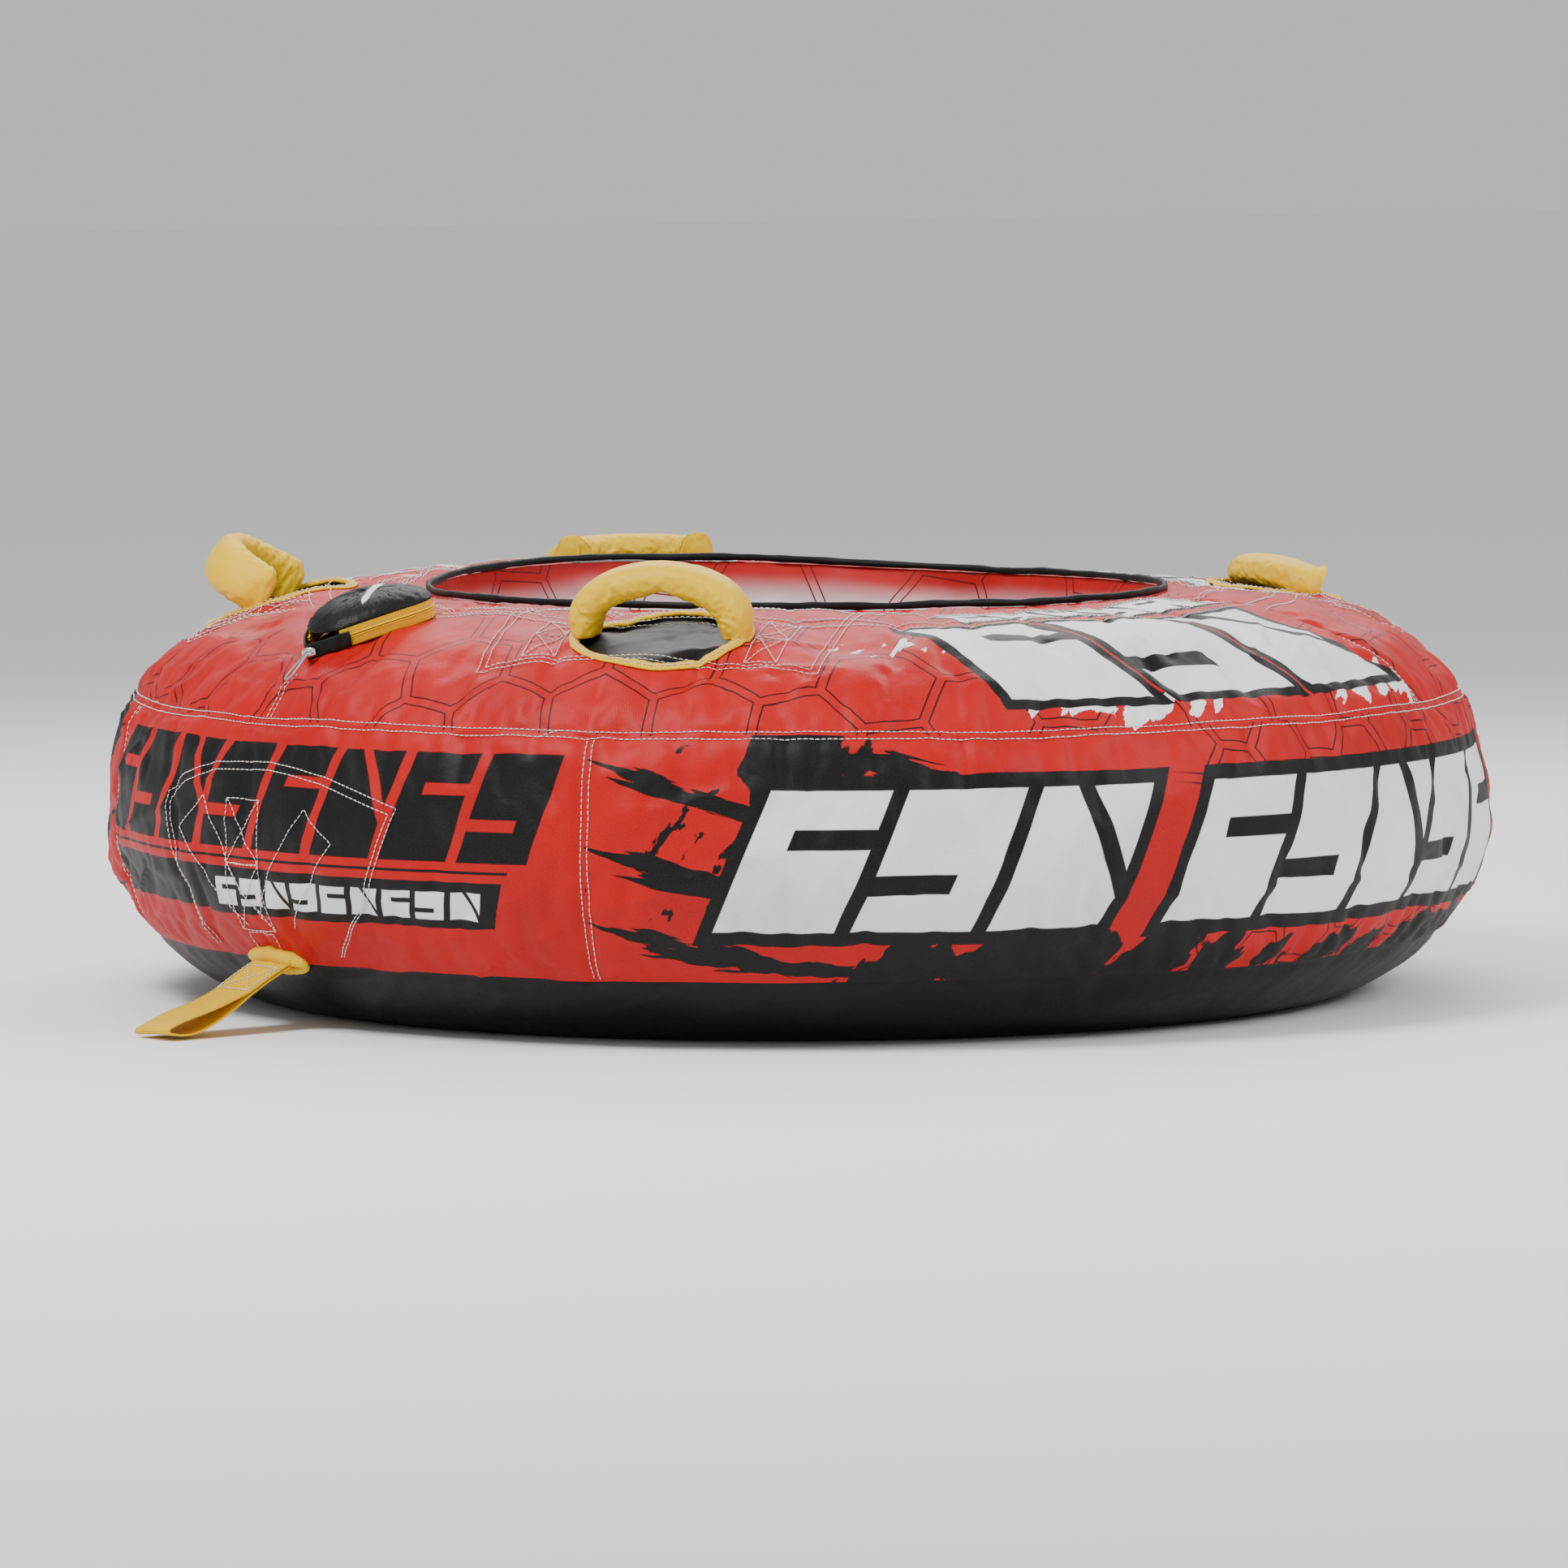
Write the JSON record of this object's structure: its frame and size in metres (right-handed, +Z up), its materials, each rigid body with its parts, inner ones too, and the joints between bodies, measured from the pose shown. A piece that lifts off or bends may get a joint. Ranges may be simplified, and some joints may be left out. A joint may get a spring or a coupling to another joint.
{
  "type": "towable tube",
  "caption": "Round inflated towable tube with an open rider well, sewn fabric cover, padded swinging handles, webbing tow loop and a zipped valve hatch.",
  "frame": {"origin": "on the ground, under the middle of the whole length with the tow loop", "axes": "+Z up; -Y the tow direction, the way the tow loop points; +X to the left of a rider who faces the tow direction"},
  "size_m": [1.221, 1.316, 0.4003],
  "materials": {
    "red_fabric": "woven nylon, printed, slight sheen",
    "black_fabric": "woven nylon, matt",
    "white_fabric": "woven nylon, printed, matt",
    "yellow_web": "ribbed nylon webbing",
    "yellow_padding": "woven nylon cover over foam",
    "steel": "plated, satin",
    "moulded_grey": "moulded, matt",
    "rubber": "matt",
    "vinyl": "heavy gauge vinyl sheet, satin"
  },
  "bodies": {
    "tube": {"backing_patch_front_left": "black_fabric", "backing_patch_front_right": "black_fabric", "backing_patch_rear_left": "black_fabric", "backing_patch_rear_right": "black_fabric", "bladder": "vinyl", "bottom_panel": "black_fabric", "drain_mesh": "moulded_grey", "drain_rim": "moulded_grey", "floor_panel": "black_fabric", "opening_binding_front_left": "yellow_web", "opening_binding_front_right": "yellow_web", "opening_binding_rear_left": "yellow_web", "opening_binding_rear_right": "yellow_web", "side_panel_left": "red_fabric", "side_panel_right": "red_fabric", "side_panel_tow": "red_fabric", "top_panel_left": "red_fabric", "top_panel_rear": "red_fabric", "top_panel_right": "red_fabric", "tow_cuff": "yellow_web", "tow_patch": "red_fabric", "tow_web_centre": "yellow_web", "tow_web_left": "yellow_web", "tow_web_right": "yellow_web", "valve_base": "moulded_grey", "valve_body": "moulded_grey", "valve_diaphragm": "rubber", "valve_tether": "moulded_grey", "web_tab_front_left_a": "yellow_web", "web_tab_front_left_b": "yellow_web", "web_tab_front_right_a": "yellow_web", "web_tab_front_right_b": "yellow_web", "web_tab_rear_left_a": "yellow_web", "web_tab_rear_left_b": "yellow_web", "web_tab_rear_right_a": "yellow_web", "web_tab_rear_right_b": "yellow_web", "well_binding": "black_fabric", "well_wall_panel": "white_fabric", "zip_garage": "black_fabric", "zip_tape_lower": "yellow_web"},
    "grip_front_left": {"grip_front_left": "yellow_padding", "grip_web_front_left": "yellow_web"},
    "grip_front_right": {"grip_front_right": "yellow_padding", "grip_web_front_right": "yellow_web"},
    "grip_rear_right": {"grip_rear_right": "yellow_padding", "grip_web_rear_right": "yellow_web"},
    "grip_rear_left": {"grip_rear_left": "yellow_padding", "grip_web_rear_left": "yellow_web"},
    "tow_loop": {"tow_loop": "yellow_web"},
    "hatch": {"hatch_flap": "black_fabric", "zip_tape_upper": "yellow_web"},
    "zip_slider": {"zip_slider": "steel"},
    "zip_pull": {"zip_pull": "steel"},
    "valve_cap": {"valve_cap": "moulded_grey"}
  },
  "joints": [
    {"name": "grip_front_left_hinge", "type": "hinge", "parent": "tube", "child": "grip_front_left", "pos_m": [0.27947, -0.33018, 0.34997], "axis": [0.8039, 0.5948, 0], "range_deg": [-60, 70]},
    {"name": "grip_front_right_hinge", "type": "hinge", "parent": "tube", "child": "grip_front_right", "pos_m": [-0.34643, -0.26995, 0.35328], "axis": [0.6756, -0.7373, 0], "range_deg": [-112, 20]},
    {"name": "grip_rear_right_hinge", "type": "hinge", "parent": "tube", "child": "grip_rear_right", "pos_m": [-0.44021, 0.21209, 0.36001], "axis": [-0.3502, -0.9367, 0], "range_deg": [-112, 5]},
    {"name": "grip_rear_left_hinge", "type": "hinge", "parent": "tube", "child": "grip_rear_left", "pos_m": [0.16069, 0.489, 0.34997], "axis": [-0.9397, 0.342, 0], "range_deg": [-4, 112]},
    {"name": "tow_loop_hinge", "type": "hinge", "parent": "tube", "child": "tow_loop", "pos_m": [0, -0.5315, 0.056], "axis": [-1, 0, 0], "range_deg": [0, 55]},
    {"name": "hatch_hinge", "type": "hinge", "parent": "tube", "child": "hatch", "pos_m": [0, -0.484, 0.33451], "axis": [1, 0, 0], "range_deg": [0, 110]},
    {"name": "zip_slide", "type": "hinge", "parent": "tube", "child": "zip_slider", "pos_m": [-0.0504, -0.41317, 0.35032], "axis": [0, -0.3561, 0.9345], "range_deg": [0, 50]},
    {"name": "zip_pull_hinge", "type": "hinge", "parent": "zip_slider", "child": "zip_pull", "pos_m": [0.00744, -0.49717, 0.31976], "axis": [-1, 0, 0], "range_deg": [0, 100]},
    {"name": "valve_cap_turn", "type": "hinge", "parent": "tube", "child": "valve_cap", "pos_m": [0, -0.4285, 0.33807], "axis": [0, -0.2617, 0.9652], "range_deg": [0, 90]}
  ],
  "couplings": [
    {"joint": "zip_pull_hinge", "follows": "zip_slide", "ratio": 1.2}
  ]
}
